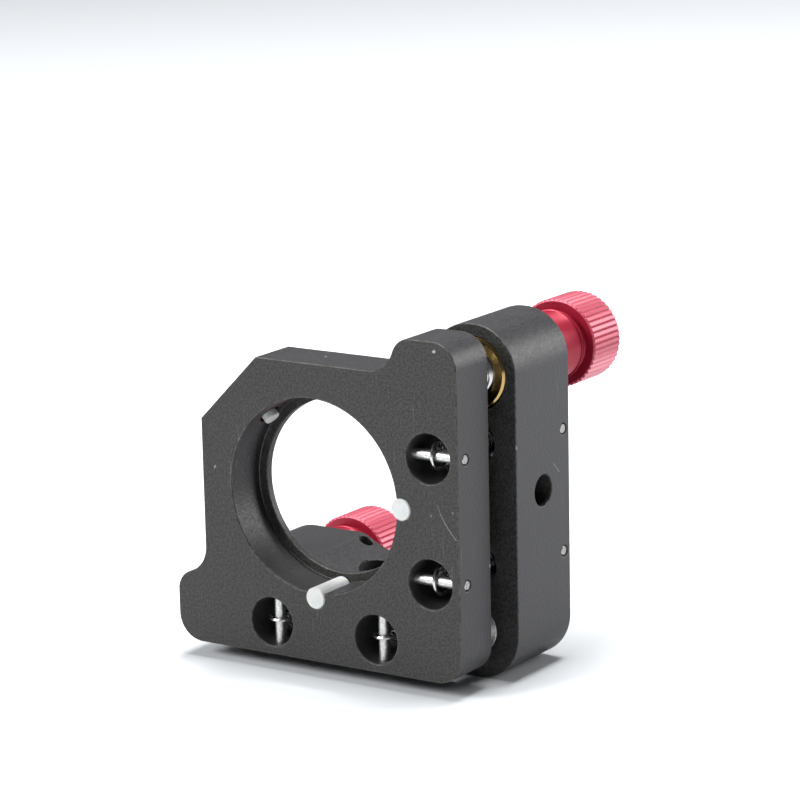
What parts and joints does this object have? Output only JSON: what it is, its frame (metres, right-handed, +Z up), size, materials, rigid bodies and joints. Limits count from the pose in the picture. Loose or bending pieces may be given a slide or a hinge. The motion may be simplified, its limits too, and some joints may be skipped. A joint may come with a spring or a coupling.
{
  "type": "kinematic mirror mount",
  "caption": "Two-plate kinematic mount for a one-inch round mirror: springs pull the front plate onto a pivot ball and two fine screws with knurled knobs, which tilt it.",
  "frame": {"origin": "centre of the base post hole, on the back plate's bottom face", "axes": "+Z up along the base post hole; +Y back along the optical axis, away from the optic; +X to the right as the optic's user faces it, out of the side face"},
  "size_m": [0.0489, 0.0402, 0.0489],
  "materials": {
    "black_anodise": "matt, bead-blasted and black anodised",
    "red_anodise": "satin, red anodised",
    "brass": "turned",
    "steel": "ground thread",
    "polished_steel": "polished ball",
    "seat_steel": "ground",
    "pin_steel": "satin",
    "spring_steel": "bright wire",
    "black_steel": "black oxide",
    "nylon": "matt"
  },
  "bodies": {
    "base": {"back_plate": "black_anodise", "pitch_bushing": "brass", "yaw_bushing": "brass", "pivot_seat_back": "seat_steel", "back_pin_upper_side": "pin_steel", "back_pin_lower_side": "pin_steel", "back_pin_left_base": "pin_steel", "back_pin_right_base": "pin_steel", "upper_side_spring": "spring_steel", "lower_side_spring": "spring_steel", "left_base_spring": "spring_steel", "right_base_spring": "spring_steel"},
    "pivot": {"pivot_ball": "polished_steel"},
    "front": {"front_plate": "black_anodise", "side_locating_rod": "nylon", "lower_locating_rod": "nylon", "pivot_seat_front": "seat_steel", "pitch_groove_seat": "seat_steel", "yaw_flat_seat": "seat_steel", "front_pin_upper_side": "pin_steel", "front_pin_lower_side": "pin_steel", "front_pin_left_base": "pin_steel", "front_pin_right_base": "pin_steel"},
    "optic_tip": {"optic_screw_tip": "nylon"},
    "optic_screw": {"optic_set_screw": "black_steel"},
    "pitch_tip": {"pitch_ball": "polished_steel"},
    "pitch_adjuster": {"pitch_screw": "steel", "pitch_knob": "red_anodise"},
    "yaw_tip": {"yaw_ball": "polished_steel"},
    "yaw_adjuster": {"yaw_screw": "steel", "yaw_knob": "red_anodise"}
  },
  "joints": [
    {"name": "yaw_tilt", "type": "hinge", "parent": "base", "child": "pivot", "pos_m": [0.01865, -0.00845, 0.00675], "axis": [0, 0, 1], "range_deg": [-3, 3], "deforming": ["upper_side_spring", "lower_side_spring", "left_base_spring", "right_base_spring"]},
    {"name": "pitch_tilt", "type": "hinge", "parent": "pivot", "child": "front", "pos_m": [0.01865, -0.00845, 0.00675], "axis": [1, 0, 0], "range_deg": [-3, 3], "deforming": ["upper_side_spring", "lower_side_spring", "left_base_spring", "right_base_spring"]},
    {"name": "pitch_advance", "type": "slide", "parent": "base", "child": "pitch_tip", "axis": [0, -1, 0], "range_m": [-0.00183, 0.00183]},
    {"name": "pitch_turn", "type": "hinge", "parent": "pitch_tip", "child": "pitch_adjuster", "pos_m": [0.01865, -0.00845, 0.0421], "axis": [0, -1, 0], "range_deg": [-2640, 2640]},
    {"name": "yaw_advance", "type": "slide", "parent": "base", "child": "yaw_tip", "axis": [0, -1, 0], "range_m": [-0.00183, 0.00183]},
    {"name": "yaw_turn", "type": "hinge", "parent": "yaw_tip", "child": "yaw_adjuster", "pos_m": [-0.0167, -0.00845, 0.00675], "axis": [0, -1, 0], "range_deg": [-2640, 2640]},
    {"name": "optic_clamp", "type": "slide", "parent": "front", "child": "optic_tip", "axis": [0.7071, 0, -0.7071], "range_m": [-0.0015, 0.0004]},
    {"name": "optic_screw_turn", "type": "hinge", "parent": "optic_tip", "child": "optic_screw", "pos_m": [-0.0112, -0.01395, 0.0366], "axis": [0.7071, 0, -0.7071], "range_deg": [-1085, 292]}
  ],
  "couplings": [
    {"joint": "pitch_turn", "follows": "pitch_advance", "rad_per_m": 25133},
    {"joint": "pitch_tilt", "follows": "pitch_advance", "rad_per_m": 28.289},
    {"joint": "yaw_turn", "follows": "yaw_advance", "rad_per_m": 25133},
    {"joint": "yaw_tilt", "follows": "yaw_advance", "rad_per_m": 28.289},
    {"joint": "optic_screw_turn", "follows": "optic_clamp", "rad_per_m": 12566}
  ]
}
